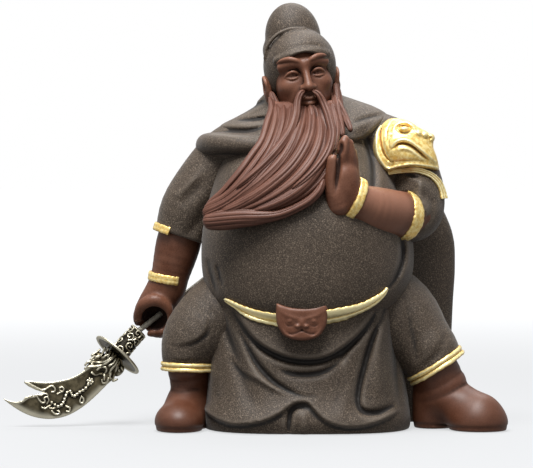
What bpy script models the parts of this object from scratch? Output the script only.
"""Stocky bearded warrior god in a robe and cape, fired clay, with a loose metal glaive in one fist.

The figure is one clay solid, the glaive's head one casting and its shaft a thin rod.
Metres, +Z up. The figure faces -Y, and +X is on the right of someone who looks at its face.
The origin is on the ground under the middle of the skirt.
"""

import math

import bmesh
import bpy
import numpy as np
from mathutils import Matrix, Vector

# Driving dimensions, in metres
FIGURE_HEIGHT = 0.155
SHAFT_DIAMETER = 0.0020
SHAFT_BEHIND_FIST = 0.052
SHAFT_BEFORE_FIST = 0.0079
SHAFT_CLEARANCE = 0.0003
GRIP_MOUTH_START = 0.0010
GRIP_MOUTH_END = 0.0120
GRIP_MOUTH_DIAMETER = 0.0125
FIST_BORE_HALF_LENGTH = 0.0200
SOCKET_DEPTH = 0.0050
SLEEVE_LENGTH = 0.0120
SLEEVE_DIAMETER = 0.0064
GUARD_DIAMETER = 0.0202
GUARD_THICKNESS = 0.0016
BLADE_LENGTH = 0.0400
BLADE_THICKNESS = 0.0018
BLADE_EDGE_THICKNESS = 0.0006
BEAST_VOXEL = 0.00046

# How the glaive's head lies, in degrees: below the level, out towards the viewer,
# and how far the blade leans back from the sleeve
HEAD_DIP = 48.5
HEAD_SWING = 12.0
BLADE_LEAN = 3.0

# The figure's pose, proportions and carving are in model units, so many to its height
MODEL_HEIGHT = 155.0
UNIT = FIGURE_HEIGHT / MODEL_HEIGHT
MODEL_VOXEL = 0.62
SMOOTHING_ROUNDS = 3
FIGURE_TRIANGLES = 7900
BEAST_TRIANGLES = 560
PATH_STEPS = 5
BLADE_STEPS = 3
RING_POINTS = 40
LIMB_SIDES = 24
BALL_SEGMENTS = 28
BALL_RINGS = 16
HOLE_SIDES = 24
ROD_SIDES = 16
GUARD_SIDES = 32
BEAST_SMOOTHING_ROUNDS = 2
WELD_GAP = 0.00001
CUT_SNAP = 0.00002
# Least share of a face's normal that looks to the front or the back, where folds are carved
FACING = 0.1

# The fist's middle and the way from it to the hidden end of the shaft, in model units
GRIP = (-55.4, 6.0, 38.8)
SHAFT_RISE = (0.706, 0.448, 0.549)

# Head: its middle, how far the top leans aside and how far the face turns, in degrees
HEAD_MIDDLE = (-1.6, -5.0, 127.0)
HEAD_LEAN = -8.0
HEAD_TURN = 8.0

# Torso and skirt: height, middle x, middle y, half width, half depth, sag of the front
TORSO = [
    (41, 0.0, -6.0, 26.0, 25.0, -5.0), (45, 0.2, -7.0, 32.5, 31.0, -6.0),
    (50, 0.6, -7.5, 36.6, 34.0, -6.0), (57, 0.8, -7.5, 38.3, 35.2, -4.0),
    (64, 0.8, -7.0, 38.6, 35.5, -2.0), (72, 0.5, -6.5, 37.8, 35.0, 0.0),
    (81, 0.0, -5.5, 35.5, 33.5, 0.0), (91, -0.5, -3.0, 32.5, 30.0, 0.0),
    (100, -1.0, 1.0, 29.0, 25.0, 0.0), (108, -2.0, 4.0, 23.0, 20.0, 0.0),
    (115, -2.0, 5.0, 15.5, 15.0, 0.0), (123, -2.0, 3.0, 10.5, 10.5, 0.0),
]
SKIRT = [
    (-3, 0.6, -6.0, 37.2, 33.4, 0.0), (1, 0.6, -6.0, 38.0, 34.2, 0.0),
    (5, 0.6, -6.0, 38.6, 34.8, 0.0), (14, 0.6, -5.5, 36.6, 32.6, 0.0),
    (28, -0.4, -5.0, 34.0, 30.6, 0.0), (40, -0.5, -5.0, 32.0, 29.0, 0.0),
    (50, 0.0, -5.0, 28.0, 26.0, 0.0),
]
MANTLE = [
    (96, -4.0, 4.0, 30.0, 20.0, 0.0), (99, -4.0, 3.0, 34.5, 23.5, 0.0),
    (103, -4.0, 3.0, 34.5, 23.0, 0.0), (108, -4.0, 4.0, 29.5, 19.5, 0.0),
    (113, -3.5, 4.5, 22.5, 16.0, 0.0), (118, -3.0, 4.5, 15.5, 13.5, 0.0),
    (123, -2.5, 4.0, 11.0, 11.0, 0.0),
]

# Limbs in grey cloth: stations of x, y, z and radius
ROBE_LIMBS = {
    "left sleeve": [(-26, 3, 101, 12), (-31, 3, 97, 11.5), (-36.5, 3, 88, 11.6), (-42, 3, 79, 11.4),
                    (-44.6, 3, 75, 9.6)],
    "right shoulder": [(8, 3, 107, 10), (23, 2, 103.5, 12), (33, 0, 99.5, 12.5)],
    "right sleeve": [(34, -1, 98, 12), (40.5, -3, 89, 11), (42.5, -5, 80, 10.5), (41.5, -8, 76.5, 9.9)],
    "left thigh": [(-17, -7, 43, 19), (-28, -10, 40, 16.6), (-38, -13, 33.5, 13.2),
                   (-42.6, -14.5, 27, 10), (-43.4, -14.5, 23.5, 8.6)],
    "right thigh": [(20, -6, 44, 20), (31.5, -9, 39.5, 17), (40, -12, 32, 12.8), (44.6, -13, 27, 11.4),
                    (46.2, -13.6, 23, 10.2)],
    "left shoulder roll": [(-24, 20, 100, 3.0), (-34, 11, 101, 3.6), (-36.6, 1, 101.3, 3.7),
                           (-32.5, -10, 101, 3.8), (-23, -17, 100.6, 3.6), (-12, -20, 101, 2.6)],
    "left collar fold": [(-26, 8, 111, 2.0), (-27, 0, 110.5, 2.2), (-21, -8, 110.5, 2.2),
                         (-12, -13, 112, 1.8)],
}
# Cape behind: height, left edge x, right edge x, middle y, half depth
CAPE = [
    (-3, 2.0, 50.0, 19.0, 9.0), (6, 1.0, 53.0, 19.0, 10.0), (22, -2.0, 53.6, 19.5, 10.5),
    (44, -7.0, 54.6, 19.5, 11.0), (58, -12.0, 55.6, 20.0, 11.0), (70, -17.0, 54.6, 19.0, 11.0),
    (83, -23.0, 49.6, 17.0, 11.0), (96, -27.0, 41.0, 14.0, 10.0), (108, -20.0, 28.0, 11.0, 8.0),
]

# Skin and boots: stations of x, y, z and radius
CLAY_LIMBS = {
    "left forearm": [(-46.5, 3, 76, 8.2), (-46.4, 3, 64, 8.5), (-49.3, 3.6, 55, 7.2),
                     (-50.6, 4.2, 50.5, 7.0)],
    "left hand": [(-51.2, 4.6, 49, 7.2), (-54.0, 5.4, 43.5, 8.5), (-54.6, 5.8, 41.6, 8.3)],
    "right forearm": [(42.5, -9, 77.5, 9.2), (32, -20, 78.5, 9.8), (24, -28, 81, 8.7),
                      (17.4, -33.4, 83.5, 7.0)],
    "right palm": [(16.4, -34.0, 84, 6.6), (14.2, -36.0, 89, 5.6), (13.6, -36.4, 94, 4.4)],
    "right first finger": [(11.8, -37.4, 94, 2.7), (12.6, -38.0, 99.5, 2.6), (13.0, -38.2, 103.6, 2.1)],
    "right middle finger": [(15.2, -36.8, 93, 2.7), (15.8, -37.4, 98.5, 2.5), (15.8, -37.8, 102.2, 2.0)],
    "right little finger": [(16.8, -35.2, 91, 2.8), (17.0, -35.8, 96.0, 2.4), (16.6, -36.2, 99.4, 2.0)],
    "right thumb": [(11.5, -39.5, 84, 3.2), (8.0, -42, 90, 2.6), (7.6, -42.4, 95, 2.2), (8.4, -42, 98, 1.7)],
    "left boot": [(-43.3, -14.5, 23, 7.7), (-43.0, -14.5, 17, 7.0), (-43.2, -15.5, 12.5, 6.4),
                  (-44.2, -19, 8, 7.4), (-45.4, -25, 6.6, 8.0), (-45.8, -28.5, 6.2, 7.2)],
    "left heel": [(-43.0, -13, 8, 6.0), (-43.2, -11, 4, 6.4)],
    "right boot": [(46.6, -14, 21.5, 9.2), (49.6, -14.4, 16.2, 8.6), (52.4, -15.4, 11, 8.2),
                   (57, -18.5, 7.4, 8.2), (62.4, -22.6, 5.8, 8.2), (64.6, -24.4, 5.4, 7.4)],
    "right heel": [(46.6, -12, 12, 7.8), (46.2, -11, 4.5, 7.2)],
}
# Gilt bands and rolls that stand proud of the clay
TRIM_LIMBS = {
    "left leg band": [(-43.4, -14.5, 24.2, 9.3), (-43.4, -14.5, 21.4, 9.0)],
    "right leg band": [(45.7, -13.4, 23.4, 10.9), (47.1, -13.8, 20.9, 10.4)],
    "left wristband": [(-49.6, 3.7, 54.6, 7.9), (-50.1, 3.9, 51.9, 7.7)],
    "right wristband": [(18.6, -32.4, 82.9, 8.1), (16.6, -34.0, 83.9, 7.7)],
    "elbow cuff": [(40.6, -11.6, 77.6, 10.5), (38.8, -13.4, 77.8, 10.3)],
    "shoulder guard rim": [(26, -5, 107, 1.4), (25.4, -9.6, 99.5, 1.8), (29.8, -13, 92.8, 1.9),
                           (38.5, -14.6, 93.8, 1.8), (46, -10.6, 91.2, 1.8), (50.6, -3, 86.8, 1.8),
                           (48.0, 5, 86.5, 1.6)],
}
# Bulging masses: middle and half sizes
BLOBS = {
    "shoulder guard": [(36.6, -3.5, 100.6), (12.6, 12.6, 12.2)],
    "shoulder guard cheek": [(42.4, -2.5, 95.6), (8.0, 10.5, 8.2)],
    "beast nose": [(44.6, -7.5, 104.6), (3.0, 3.2, 2.4)],
    "beast brow": [(38.0, -10.0, 109.0), (4.6, 3.6, 2.2)],
    "beast eye": [(35.4, -13.4, 106.4), (2.2, 1.8, 1.7)],
    "beast upper lip": [(39.5, -13.0, 101.6), (7.0, 3.0, 1.8)],
    "left buckle cheek": [(-6.6, -38.2, 40.4), (4.2, 5.0, 5.2)],
    "right buckle cheek": [(3.2, -38.2, 40.4), (4.2, 5.0, 5.2)],
    "buckle chin": [(-1.7, -37.8, 37.4), (7.0, 5.0, 3.8)],
    "buckle brow": [(-1.7, -38.4, 41.4), (5.0, 4.8, 3.2)],
    "buckle snout": [(-1.7, -42.6, 38.0), (2.8, 2.2, 1.5)],
    "left buckle eye": [(-5.4, -42.2, 41.0), (2.0, 1.7, 1.4)],
    "right buckle eye": [(2.0, -42.2, 41.0), (2.0, 1.7, 1.4)],
    "left buckle horn": [(-9.4, -38.6, 44.6), (1.7, 2.8, 1.8)],
    "right buckle horn": [(6.0, -38.6, 44.6), (1.7, 2.8, 1.8)],
    "back": [(2, 13, 76), (31, 19, 34)],
}
# Head, in its own frame: masses, each mirrored where it lies off the middle
HEAD_BLOBS = [
    ((0, 0, 3), (11.6, 13.4, 14.0)), ((0, -5, -7), (9.6, 8.8, 8.6)), ((5.2, -8.4, -4.2), (4.0, 4.0, 4.2)),
    ((12.4, 0.5, -2.2), (1.9, 3.2, 4.6)), ((0, 0.4, 6.4), (13.0, 14.0, 12.0)),
    ((9.6, 1.6, 3.4), (3.9, 8.0, 8.6)), ((-0.9, 6.4, 15.2), (10.2, 9.4, 13.3)),
    ((4.4, -11.6, 1.8), (2.6, 1.7, 1.4)), ((0, -12.0, -11.0), (4.4, 3.6, 3.4)),
    ((1.7, -13.8, -2.2), (1.3, 1.4, 1.2)),
]
HEAD_LIMBS = [
    [(0, -12.2, 4.2, 1.4), (0, -14.6, -0.4, 1.7), (0, -15.0, -1.8, 2.0)],
    [(1.2, -13.2, 4.9, 1.1), (4.6, -12.8, 5.6, 1.2), (8.6, -9.6, 4.6, 1.0)],
    [(1.0, -15.2, -4.0, 1.4), (3.4, -15.4, -6.4, 1.8), (4.6, -16.0, -11.0, 1.9), (5.4, -18.5, -17.0, 1.6)],
    [(11.0, -4.0, -2.0, 1.8), (9.8, -8.6, -8.0, 2.6), (8.6, -12.5, -13.5, 3.2)],
    [(0.0, -13.6, -8.0, 1.6), (0.0, -16.0, -13.0, 2.6)],
]
CAP_ROLL = [(-12.6, 2, 6, 1.1), (-11.2, -2.4, 12.4, 1.2), (-6.8, -4.6, 16.6, 1.2), (0, -5.4, 18.0, 1.2),
            (6.8, -4.6, 16.6, 1.2), (11.2, -2.4, 12.4, 1.2), (12.6, 2, 6, 1.1)]
CAP_BAND = [(-9.4, -8.8, 8.6, 1.3), (-5, -12.4, 9.2, 1.5), (0, -13.5, 9.4, 1.6), (5, -12.4, 9.2, 1.5),
            (9.4, -8.8, 8.6, 1.3)]

# Beard: its upper left edge, its lower right edge, the depth of both and the half thickness
BEARD = [
    ((-11, 119), (12.5, 118), -12.5, 6.0), ((-15, 108), (14.8, 107), -22, 6.5),
    ((-20, 99), (14.8, 94), -30.5, 6.5), ((-25, 92.5), (6.5, 84.6), -36, 6.2),
    ((-29.5, 88.4), (-8, 77.6), -38.5, 5.8), ((-33.5, 85.4), (-23, 73.9), -36, 5.2),
    ((-36.4, 82.2), (-34.2, 73.4), -33, 4.0),
]
BEARD_GROOVES = 9
BEARD_GROOVE_DEPTH = 0.9
BEARD_GROOVE_WIDTH = 0.9

# Folds seen from the front: path of x and z, half width and depth (raised where positive)
FRONT_FOLDS = [
    ([(-27.2, 40.5), (-16.4, 30.6), (-7.6, 26), (3.1, 24.5), (11.9, 26.7), (20.1, 35.5), (26.5, 43)],
     2.2, -1.5),
    ([(-4.7, 21.3), (3.1, 21.3), (10.9, 24.5), (21.1, 31.6), (28.5, 43)], 2.0, -1.4),
    ([(-26, 38), (-16.4, 24.5), (-7.9, 17.1), (0.2, 13.5)], 2.2, -1.8),
    ([(26.5, 38), (22.2, 26.7), (19, 16), (18.7, 10), (21.2, 7.9), (31.4, 10)], 2.0, -1.7),
    ([(-28.5, 42), (-29, 30), (-30, 20)], 2.6, -1.2),
    ([(-34, 7), (-23.1, 3.6), (-12.6, 5.7), (-7.9, 8.2), (-4.7, 11.1), (0.2, 11.4)], 2.2, 1.1),
    ([(2, 7.3), (8.8, 3.3), (18.7, 2), (26.5, 3), (35.7, 5.7)], 2.2, 1.0),
    ([(-8.2, 3), (-7.4, 8), (-4.0, 11.6)], 1.4, -1.2),
    ([(-41.8, 31.1), (-36.4, 33.6), (-33.8, 40.1)], 1.6, -1.1),
    ([(-31, 49), (-21.7, 43.2), (-12.9, 39.9), (-9, 39.2)], 2.4, 1.3),
    ([(6.5, 40), (18.9, 45.3), (30, 52)], 2.4, 1.3),
    ([(-36, 105.2), (-24, 105.6), (-15.7, 106.6)], 1.2, -0.9),
    ([(-33, 107.6), (-25.6, 109), (-15.7, 109.8)], 1.1, -0.8),
]

# Folds of the cape and the robe behind, seen from the same side, and wrinkles of the boots all round
BACK_FOLDS = [
    ([(44, 88), (46, 60), (46, 20), (45, 4)], 3.0, -1.4),
    ([(33, 100), (34, 70), (31, 30), (30, 3)], 3.2, -1.6),
    ([(20, 104), (19, 76), (16, 40), (14, 3)], 3.0, -1.5),
    ([(6, 106), (1, 84), (2, 50), (5, 12)], 3.0, -1.3),
    ([(-12, 58), (-14, 36), (-17, 3)], 2.8, -1.4), ([(-25, 50), (-26, 34), (-28, 3)], 2.6, -1.2),
]
WRINKLES = [
    ([(-50, 19.4), (-43, 18.4), (-36, 19.4)], 0.9, -0.6),
    ([(-50, 15.6), (-43, 14.8), (-36, 15.8)], 0.9, -0.6),
    ([(42, 16), (49, 17), (58, 20.6)], 1.0, -0.7), ([(44, 11.6), (52, 12.6), (60, 15.4)], 1.0, -0.7),
    ([(-52.6, 50), (-54.4, 46.6), (-58, 42)], 0.7, -0.4), ([(11, 88), (11.4, 95), (11.8, 102)], 0.7, -0.7),
    ([(14.6, 92), (14.2, 98), (13.8, 104)], 0.6, -0.6), ([(28, 103.6), (36, 106), (44, 101)], 1.1, -0.9),
]

# Outlines of the blade in its own frame, as shares of its length: along it and across it
BLADE_BACK = [(0.20, -0.115), (0.40, -0.140), (0.53, -0.205), (0.65, -0.290), (0.735, -0.40)]
BLADE_NOTCH = [(0.762, -0.425), (0.775, -0.355), (0.735, -0.262), (0.82, -0.290), (0.90, -0.315),
               (0.945, -0.36)]
BLADE_EDGE = [(1.0, -0.450), (0.998, -0.345), (0.92, -0.125), (0.83, -0.012), (0.70, 0.070), (0.57, 0.112),
              (0.40, 0.126), (0.20, 0.112)]
# Profiles about the head's line, as shares of the sleeve's length and radius,
# and of the guard's half thickness and radius
SLEEVE_PROFILE = [(-1.0, 0.92), (-0.95, 1.0), (-0.87, 1.0), (-0.84, 0.86), (-0.16, 0.82)]
GUARD_PROFILE = [(-1.5, 0.35), (-1.0, 0.86), (-0.6, 1.0), (0.6, 1.0), (1.0, 0.9), (1.0, 0.4), (3.0, 0.3)]
# Beast head that the blade grows from, as shares of the blade's length: middle and half sizes
BEAST_BLOBS = [
    ((0.10, 0.0, 0.0), (0.12, 0.10, 0.085)), ((0.20, -0.055, 0.0), (0.10, 0.055, 0.06)),
    ((0.20, 0.060, 0.0), (0.09, 0.050, 0.055)), ((0.13, -0.120, 0.0), (0.05, 0.035, 0.045)),
    ((0.10, 0.115, 0.0), (0.06, 0.035, 0.045)), ((0.27, -0.085, 0.0), (0.05, 0.030, 0.045)),
]


def clear_scene():
    """Take everything out of the file that the script runs in."""
    for item in list(bpy.data.objects):
        bpy.data.objects.remove(item, do_unlink=True)


def make_collection(name, hidden=False):
    """Collection in the scene, for the pieces or for the cutters."""
    group = bpy.data.collections.new(name)
    bpy.context.scene.collection.children.link(group)
    group.hide_render = hidden
    return group


def make_material(name, colour, roughness, metallic=0.0):
    """Plain Principled material."""
    material = bpy.data.materials.new(name)
    material.use_nodes = True
    shader = material.node_tree.nodes["Principled BSDF"]
    shader.inputs["Base Color"].default_value = (*colour, 1.0)
    shader.inputs["Roughness"].default_value = roughness
    shader.inputs["Metallic"].default_value = metallic
    material.diffuse_color = (*colour, 1.0)
    return material


def smooth_path(points, steps=PATH_STEPS):
    """Catmull-Rom curve through points of any number of columns."""
    known = np.array(points, float)
    padded = np.vstack([2 * known[0] - known[1], known, 2 * known[-1] - known[-2]])
    path = []
    for i in range(1, len(padded) - 2):
        before, start, end, after = padded[i - 1:i + 3]
        for t in np.arange(steps) / steps:
            path.append(0.5 * (2 * start + (end - before) * t
                               + (2 * before - 5 * start + 4 * end - after) * t ** 2
                               + (3 * start - before - 3 * end + after) * t ** 3))
    path.append(known[-1])
    return np.array(path)


def add_object(name, mesh, group):
    """Object that holds the mesh, in a collection."""
    item = bpy.data.objects.new(name, mesh)
    group.objects.link(item)
    return item


def add_blob(cage, middle, sizes, place=Matrix.Identity(4)):
    """Ellipsoid added to a bmesh."""
    spot = place @ Matrix.Translation(middle) @ Matrix.Diagonal((*sizes, 1.0))
    ball = bmesh.new()
    bmesh.ops.create_uvsphere(ball, u_segments=BALL_SEGMENTS, v_segments=BALL_RINGS, radius=1.0, matrix=spot)
    mesh = bpy.data.meshes.new("ball")
    ball.to_mesh(mesh)
    ball.free()
    cage.from_mesh(mesh)
    bpy.data.meshes.remove(mesh)


def add_rings(cage, rings):
    """Closed skin over rings of equally many points."""
    rows = [[cage.verts.new(point) for point in ring] for ring in rings]
    for low, high in zip(rows, rows[1:]):
        for i in range(len(low)):
            j = (i + 1) % len(low)
            cage.faces.new((low[i], low[j], high[j], high[i]))
    cage.faces.new(rows[0][::-1])
    cage.faces.new(rows[-1])


def add_limb(cage, stations, place=Matrix.Identity(4)):
    """Round limb through stations of x, y, z and radius, with a ball at each end."""
    path = smooth_path(stations)
    angles = np.linspace(0, 2 * math.pi, LIMB_SIDES, endpoint=False)
    circle = [Vector((math.cos(a), math.sin(a), 0)) for a in angles]
    rings = []
    for i, (x, y, z, radius) in enumerate(path):
        ahead = Vector(path[min(i + 1, len(path) - 1)][:3]) - Vector(path[max(i - 1, 0)][:3])
        turn = Vector((0, 0, 1)).rotation_difference(ahead)
        rings.append([place @ (Vector((x, y, z)) + turn @ (spot * radius)) for spot in circle])
    add_rings(cage, rings)
    for x, y, z, radius in (path[0], path[-1]):
        add_blob(cage, (x, y, z), (radius, radius, radius), place)


def ellipse_rings(stations):
    """Level elliptical rings of a torso-like form; the front of each hangs by its sag."""
    rings = []
    for z, x, y, half_x, half_y, sag in smooth_path(stations):
        ring = []
        for a in np.linspace(0, 2 * math.pi, RING_POINTS, endpoint=False):
            hang = sag * max(0.0, -math.sin(a)) ** 1.5
            ring.append(Vector((x + half_x * math.cos(a), y + half_y * math.sin(a), z + hang)))
        rings.append(ring)
    return rings


def cape_rings():
    """Level rings of the cape, flat ovals between its two edges."""
    rings = []
    for z, left, right, y, half_y in smooth_path(CAPE):
        middle = (left + right) / 2
        half_x = (right - left) / 2
        rings.append([Vector((middle + half_x * math.cos(a), y + half_y * math.sin(a), z))
                      for a in np.linspace(0, 2 * math.pi, RING_POINTS, endpoint=False)])
    return rings


def beard_point(station, across, bulge):
    """Point of a beard station, across from 0 to 1 and bulge out of its middle sheet."""
    left_x, left_z, right_x, right_z, depth, half = station
    return Vector((left_x + (right_x - left_x) * across, depth - bulge * half,
                   left_z + (right_z - left_z) * across))


def beard_stations():
    """Smooth stations along the beard."""
    flat = [(*left, *right, depth, half) for left, right, depth, half in BEARD]
    return smooth_path(flat)


def beard_rings():
    """Rings of the beard between its two edges."""
    return [[beard_point(station, 0.5 - 0.5 * math.cos(a), math.sin(a))
             for a in np.linspace(0, 2 * math.pi, RING_POINTS, endpoint=False)]
            for station in beard_stations()]


def head_place():
    """Head's own frame: leaning aside and turned about its middle."""
    return (Matrix.Translation(HEAD_MIDDLE)
            @ Matrix.Rotation(math.radians(HEAD_TURN), 4, "Z")
            @ Matrix.Rotation(math.radians(HEAD_LEAN), 4, "Y"))


def mirrored(stations):
    """Same stations on the other side of the face."""
    return [(-x, *rest) for x, *rest in stations]


def add_head(cage):
    """Head with its cap, ears, features, moustache and side whiskers."""
    place = head_place()
    for middle, sizes in HEAD_BLOBS:
        add_blob(cage, middle, sizes, place)
        if middle[0] > 1:
            add_blob(cage, (-middle[0], *middle[1:]), sizes, place)
    for stations in HEAD_LIMBS:
        add_limb(cage, stations, place)
        if stations[0][0] > 0.5:
            add_limb(cage, mirrored(stations), place)
    add_limb(cage, CAP_ROLL, place)
    add_limb(cage, CAP_BAND, place)


def figure_mesh():
    """All the figure's overlapping masses in one mesh, in metres."""
    cage = bmesh.new()
    for stations in (TORSO, SKIRT, MANTLE):
        add_rings(cage, ellipse_rings(stations))
    add_rings(cage, cape_rings())
    add_rings(cage, beard_rings())
    for limbs in (ROBE_LIMBS, CLAY_LIMBS, TRIM_LIMBS):
        for stations in limbs.values():
            add_limb(cage, stations)
    for middle, sizes in BLOBS.values():
        add_blob(cage, middle, sizes)
    add_head(cage)
    bmesh.ops.recalc_face_normals(cage, faces=cage.faces)
    bmesh.ops.scale(cage, vec=(UNIT, UNIT, UNIT), verts=cage.verts)
    mesh = bpy.data.meshes.new("figure")
    cage.to_mesh(mesh)
    cage.free()
    return mesh


def bake(item):
    """Put the evaluated mesh in place of an object's mesh and modifiers."""
    graph = bpy.context.evaluated_depsgraph_get()
    mesh = bpy.data.meshes.new_from_object(item.evaluated_get(graph))
    item.modifiers.clear()
    item.data = mesh


def fuse(item, voxel, rounds):
    """Melt overlapping masses into one skin and soften where they meet."""
    remesh = item.modifiers.new("Fuse", "REMESH")
    remesh.mode = "VOXEL"
    remesh.voxel_size = voxel
    if rounds:
        soften = item.modifiers.new("Soften", "SMOOTH")
        soften.factor = 0.5
        soften.iterations = rounds
    bake(item)


def thin_out(item, triangles):
    """Reduce a mesh to so many triangles, most where the form turns most."""
    item.data.calc_loop_triangles()
    thinner = item.modifiers.new("Thin out", "DECIMATE")
    thinner.ratio = triangles / len(item.data.loop_triangles)
    thinner.use_collapse_triangulate = True
    bake(item)


def distance_to_path(points, path):
    """Distance of each point to the nearest stretch of a path."""
    nearest = np.full(len(points), np.inf)
    for start, end in zip(path, path[1:]):
        way = end - start
        share = np.clip((points - start) @ way / (way @ way), 0, 1)
        nearest = np.minimum(nearest, np.linalg.norm(points - start - share[:, None] * way, axis=1))
    return nearest


def read_vectors(items, attribute):
    """Coordinates or normals of a mesh's vertices as an array."""
    values = np.empty(len(items) * 3)
    items.foreach_get(attribute, values)
    return values.reshape(-1, 3)


def carve_folds(mesh):
    """Press the folds into the cloth, as seen from the front, and the grooves into the beard."""
    places = read_vectors(mesh.vertices, "co") / UNIT
    normals = read_vectors(mesh.vertices, "normal")
    push = np.zeros(len(places))
    seen_flat = places[:, [0, 2]]
    in_front, behind = normals[:, 1] < -FACING, normals[:, 1] > FACING
    for folds, facing in ((FRONT_FOLDS + WRINKLES, in_front), (BACK_FOLDS, behind)):
        for path, half_width, depth in folds:
            away = distance_to_path(seen_flat[facing], smooth_path(path))
            push[facing] += depth * np.exp(-2 * (away / half_width) ** 2)
    for groove in range(1, BEARD_GROOVES):
        share = groove / BEARD_GROOVES
        bulge = 2 * math.sqrt(share * (1 - share))
        path = np.array([beard_point(station, share, bulge) for station in beard_stations()])
        away = distance_to_path(places, path)
        push -= BEARD_GROOVE_DEPTH * np.exp(-(away / BEARD_GROOVE_WIDTH) ** 2)
    mesh.vertices.foreach_set("co", ((places + normals * push[:, None]) * UNIT).ravel())
    mesh.update()


def cutting(item, cutter, operation="DIFFERENCE"):
    """Cut one object by another, or join them, and bake the result."""
    modifier = item.modifiers.new("Cut", "BOOLEAN")
    modifier.operation = operation
    modifier.object = cutter
    bake(item)


def cut_flat_underside(mesh):
    """Take away what lies below the ground and close the cut."""
    cage = bmesh.new()
    cage.from_mesh(mesh)
    everything = cage.verts[:] + cage.edges[:] + cage.faces[:]
    bmesh.ops.bisect_plane(cage, geom=everything, dist=CUT_SNAP, plane_co=(0, 0, 0), plane_no=(0, 0, 1),
                           use_snap_center=True, clear_inner=True)
    bmesh.ops.holes_fill(cage, edges=[edge for edge in cage.edges if edge.is_boundary])
    bmesh.ops.triangulate(cage, faces=cage.faces)
    bmesh.ops.recalc_face_normals(cage, faces=cage.faces)
    cage.to_mesh(mesh)
    cage.free()


def weld(mesh):
    """Merge corners that a cut left closer together than the weld gap."""
    cage = bmesh.new()
    cage.from_mesh(mesh)
    bmesh.ops.remove_doubles(cage, verts=cage.verts, dist=WELD_GAP)
    bmesh.ops.dissolve_degenerate(cage, edges=cage.edges, dist=WELD_GAP)
    bmesh.ops.triangulate(cage, faces=cage.faces)
    cage.to_mesh(mesh)
    cage.free()


def rod_mesh(name, start, end, start_radius, end_radius, sides=HOLE_SIDES):
    """Straight round rod or cone frustum from start to end."""
    way = end - start
    cage = bmesh.new()
    turn = Vector((0, 0, 1)).rotation_difference(way).to_matrix().to_4x4()
    place = Matrix.Translation((start + end) / 2) @ turn
    bmesh.ops.create_cone(cage, cap_ends=True, segments=sides, radius1=start_radius, radius2=end_radius,
                          depth=way.length, matrix=place)
    mesh = bpy.data.meshes.new(name)
    cage.to_mesh(mesh)
    cage.free()
    return mesh


def add_cutter(name, mesh, cutters):
    """Cutter that is kept out of sight."""
    cutter = add_object(name, mesh, cutters)
    cutter.hide_render = True
    cutter.display_type = "WIRE"
    return cutter


def shaft_line():
    """Grip point and unit vector towards the blade, in metres."""
    return Vector(GRIP) * UNIT, -Vector(SHAFT_RISE).normalized()


def make_figure(parts, cutters, clay):
    """Clay figure with its flat underside and the hole through its fist."""
    figure = add_object("figure", figure_mesh(), parts)
    fuse(figure, MODEL_VOXEL * UNIT, SMOOTHING_ROUNDS)
    carve_folds(figure.data)
    thin_out(figure, FIGURE_TRIANGLES)

    cut_flat_underside(figure.data)
    grip, ahead = shaft_line()
    half = ahead * FIST_BORE_HALF_LENGTH
    hole = SHAFT_DIAMETER / 2 + SHAFT_CLEARANCE
    bore = rod_mesh("bore", grip - half, grip + half, hole, hole)
    cutting(figure, add_cutter("cutter_fist_bore", bore, cutters))
    inside = grip + ahead * GRIP_MOUTH_START
    outside = grip + ahead * GRIP_MOUTH_END
    mouth = rod_mesh("mouth", inside, outside, hole, GRIP_MOUTH_DIAMETER / 2)
    cutting(figure, add_cutter("cutter_fist_mouth", mouth, cutters))
    weld(figure.data)
    figure.data.materials.clear()
    figure.data.materials.append(clay)
    return figure


def make_shaft(parts, metal):
    """Rod from behind the fist to the bottom of the sleeve's socket."""
    grip, ahead = shaft_line()
    tip = grip + ahead * (SHAFT_BEFORE_FIST + SOCKET_DEPTH)
    mesh = rod_mesh("glaive_shaft", grip - ahead * SHAFT_BEHIND_FIST, tip,
                    SHAFT_DIAMETER / 2, SHAFT_DIAMETER / 2, ROD_SIDES)
    shaft = add_object("glaive_shaft", mesh, parts)
    shaft.data.materials.append(metal)
    return shaft


def head_frame():
    """Frame of the glaive's head: x towards the tip, y towards its edge, origin in the guard."""
    grip, ahead = shaft_line()
    dip = math.radians(HEAD_DIP)
    swing = math.radians(HEAD_SWING)
    along = Vector((-math.cos(dip) * math.cos(swing), -math.sin(swing), -math.sin(dip) * math.cos(swing)))
    across = Vector((math.sin(dip), 0, -math.cos(dip)))
    through = along.cross(across)
    mouth = grip + ahead * SHAFT_BEFORE_FIST
    frame = Matrix((along, across, through)).transposed().to_4x4()
    return Matrix.Translation(mouth + along * SLEEVE_LENGTH) @ frame


def blade_mesh():
    """Crescent blade, thick along its back and thin at its edge, in its own frame."""
    lean = Matrix.Rotation(-math.radians(BLADE_LEAN), 2)
    spine = np.vstack([smooth_path(BLADE_BACK, BLADE_STEPS), BLADE_NOTCH])
    edge = smooth_path(BLADE_EDGE, BLADE_STEPS)
    corners = [(lean @ Vector(spot) * BLADE_LENGTH, BLADE_THICKNESS) for spot in spine]
    corners += [(lean @ Vector(spot) * BLADE_LENGTH, BLADE_EDGE_THICKNESS) for spot in edge]
    cage = bmesh.new()
    low = [cage.verts.new((*spot, -thickness / 2)) for spot, thickness in corners]
    high = [cage.verts.new((*spot, thickness / 2)) for spot, thickness in corners]
    count = len(corners)
    for i in range(count):
        j = (i + 1) % count
        cage.faces.new((low[i], low[j], high[j], high[i]))
    cage.faces.new(low[::-1])
    cage.faces.new(high)
    cage.normal_update()
    bmesh.ops.triangulate(cage, faces=cage.faces)
    bmesh.ops.recalc_face_normals(cage, faces=cage.faces)
    mesh = bpy.data.meshes.new("glaive_head")
    cage.to_mesh(mesh)
    cage.free()
    return mesh


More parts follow.
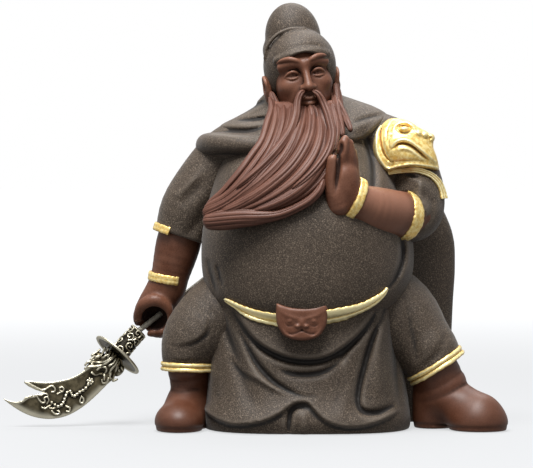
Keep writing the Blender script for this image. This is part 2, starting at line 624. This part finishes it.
def turned_mesh(name, profile, sides=GUARD_SIDES):
    """Solid of revolution about x from a profile of x and radius that closes on the axis."""
    cage = bmesh.new()
    rings = []
    for x, radius in profile:
        rings.append([Vector((x, radius * math.cos(a), radius * math.sin(a)))
                      for a in np.linspace(0, 2 * math.pi, sides, endpoint=False)])
    add_rings(cage, rings)
    bmesh.ops.recalc_face_normals(cage, faces=cage.faces)
    mesh = bpy.data.meshes.new(name)
    cage.to_mesh(mesh)
    cage.free()
    return mesh


def make_glaive_head(parts, cutters, metal):
    """Blade, beast collar, guard and sleeve as one casting, with a socket for the shaft."""
    frame = head_frame()
    head = add_object("glaive_head", blade_mesh(), parts)

    beast_mesh = bpy.data.meshes.new("beast")
    cage = bmesh.new()
    for middle, sizes in BEAST_BLOBS:
        add_blob(cage, Vector(middle) * BLADE_LENGTH, Vector(sizes) * BLADE_LENGTH)
    cage.to_mesh(beast_mesh)
    cage.free()
    beast = add_cutter("cutter_beast", beast_mesh, cutters)
    fuse(beast, BEAST_VOXEL, BEAST_SMOOTHING_ROUNDS)
    thin_out(beast, BEAST_TRIANGLES)
    cutting(head, beast, "UNION")

    profile = [(x * SLEEVE_LENGTH, radius * SLEEVE_DIAMETER / 2) for x, radius in SLEEVE_PROFILE]
    profile += [(x * GUARD_THICKNESS / 2, radius * GUARD_DIAMETER / 2) for x, radius in GUARD_PROFILE]
    handle = add_cutter("cutter_guard_and_sleeve", turned_mesh("guard", profile), cutters)
    cutting(head, handle, "UNION")
    head.data.transform(frame)

    grip, ahead = shaft_line()
    hole = SHAFT_DIAMETER / 2 + SHAFT_CLEARANCE
    mouth = grip + ahead * SHAFT_BEFORE_FIST
    socket = rod_mesh("socket", mouth - ahead * SLEEVE_DIAMETER,
                      mouth + ahead * (SOCKET_DEPTH + SHAFT_CLEARANCE), hole, hole, ROD_SIDES)
    cutting(head, add_cutter("cutter_socket", socket, cutters))
    head.data.materials.clear()
    head.data.materials.append(metal)
    return head


def main():
    """Build the statue."""
    clear_scene()
    parts = make_collection("warrior_god_statue")
    cutters = make_collection("cutters", hidden=True)
    clay = make_material("dark_clay", (0.075, 0.056, 0.044), 0.85)
    bronze = make_material("antique_bronze", (0.30, 0.27, 0.22), 0.38, 1.0)
    steel = make_material("dark_steel", (0.45, 0.42, 0.36), 0.35, 1.0)
    make_figure(parts, cutters, clay)
    make_glaive_head(parts, cutters, bronze)
    make_shaft(parts, steel)


main()
